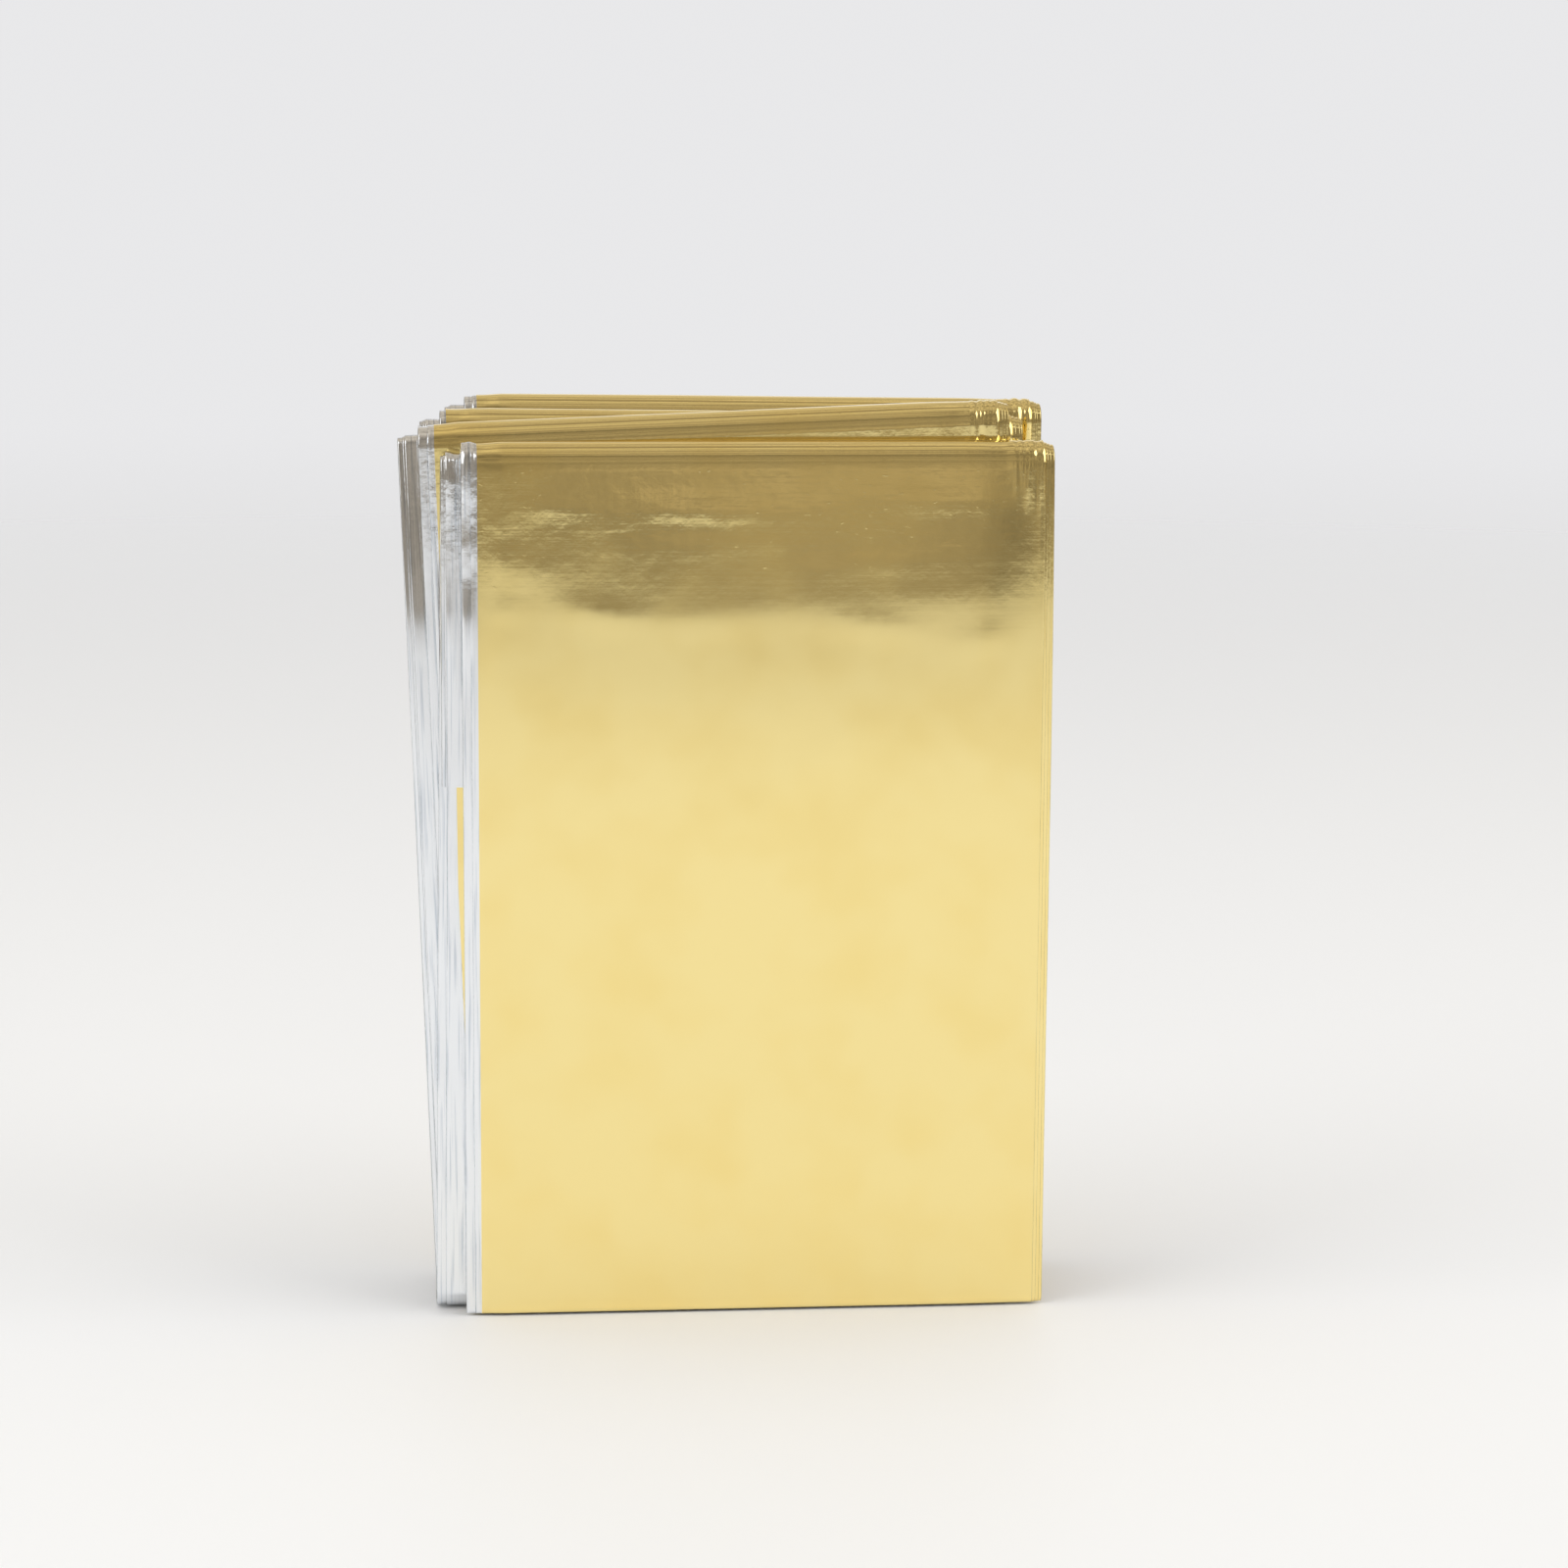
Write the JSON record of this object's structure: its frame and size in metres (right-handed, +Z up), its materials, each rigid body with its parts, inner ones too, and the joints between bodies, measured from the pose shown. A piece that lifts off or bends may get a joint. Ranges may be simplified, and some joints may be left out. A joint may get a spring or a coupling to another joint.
{
  "type": "folded emergency foil blanket",
  "caption": "Emergency blanket of thin metallised film, gold outside and silver inside, pleated into a strip, doubled and folded to and fro into an upright packet that rests on its folds.",
  "frame": {"origin": "middle of the footprint, on the surface that the packet stands on", "axes": "+Z up along the upright runs, the smooth gold front faces -Y, +X to the right as seen from the front"},
  "size_m": [0.0984, 0.0276, 0.1398],
  "materials": {
    "gold_foil": "mirror-bright metallised film, gold on the outer side, with fine creases",
    "silver_foil": "mirror-bright metallised film, silver on the inner side, with fine creases"
  },
  "bodies": {
    "root": {"folded_foil_sheet": "gold_foil"}
  },
  "joints": []
}
